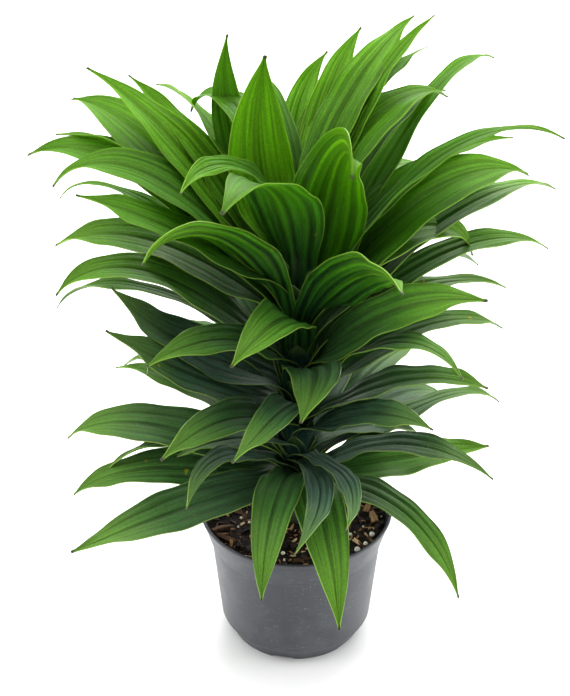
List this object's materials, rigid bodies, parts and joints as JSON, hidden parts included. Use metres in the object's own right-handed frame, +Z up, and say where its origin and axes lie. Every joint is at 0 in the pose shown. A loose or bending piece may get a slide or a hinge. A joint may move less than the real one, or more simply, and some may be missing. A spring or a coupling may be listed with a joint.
{
  "type": "potted dracaena",
  "caption": "Compact dracaena with about 85 glossy arching leaves on one upright cane, in bark mix in a thin charcoal nursery pot.",
  "frame": {"origin": "middle of the pot's flat underside, on the floor it stands on", "axes": "+Z up along the pot and the cane, -Y towards the viewer of the picture, +X to that viewer's right"},
  "size_m": [0.413, 0.3635, 0.5046],
  "materials": {
    "charcoal_plastic": "satin",
    "bark_mix": "matte",
    "green_leaf": "gloss"
  },
  "bodies": {
    "root": {"pot": "charcoal_plastic", "potting_mix": "bark_mix", "leafy_stem": "green_leaf"}
  },
  "joints": []
}
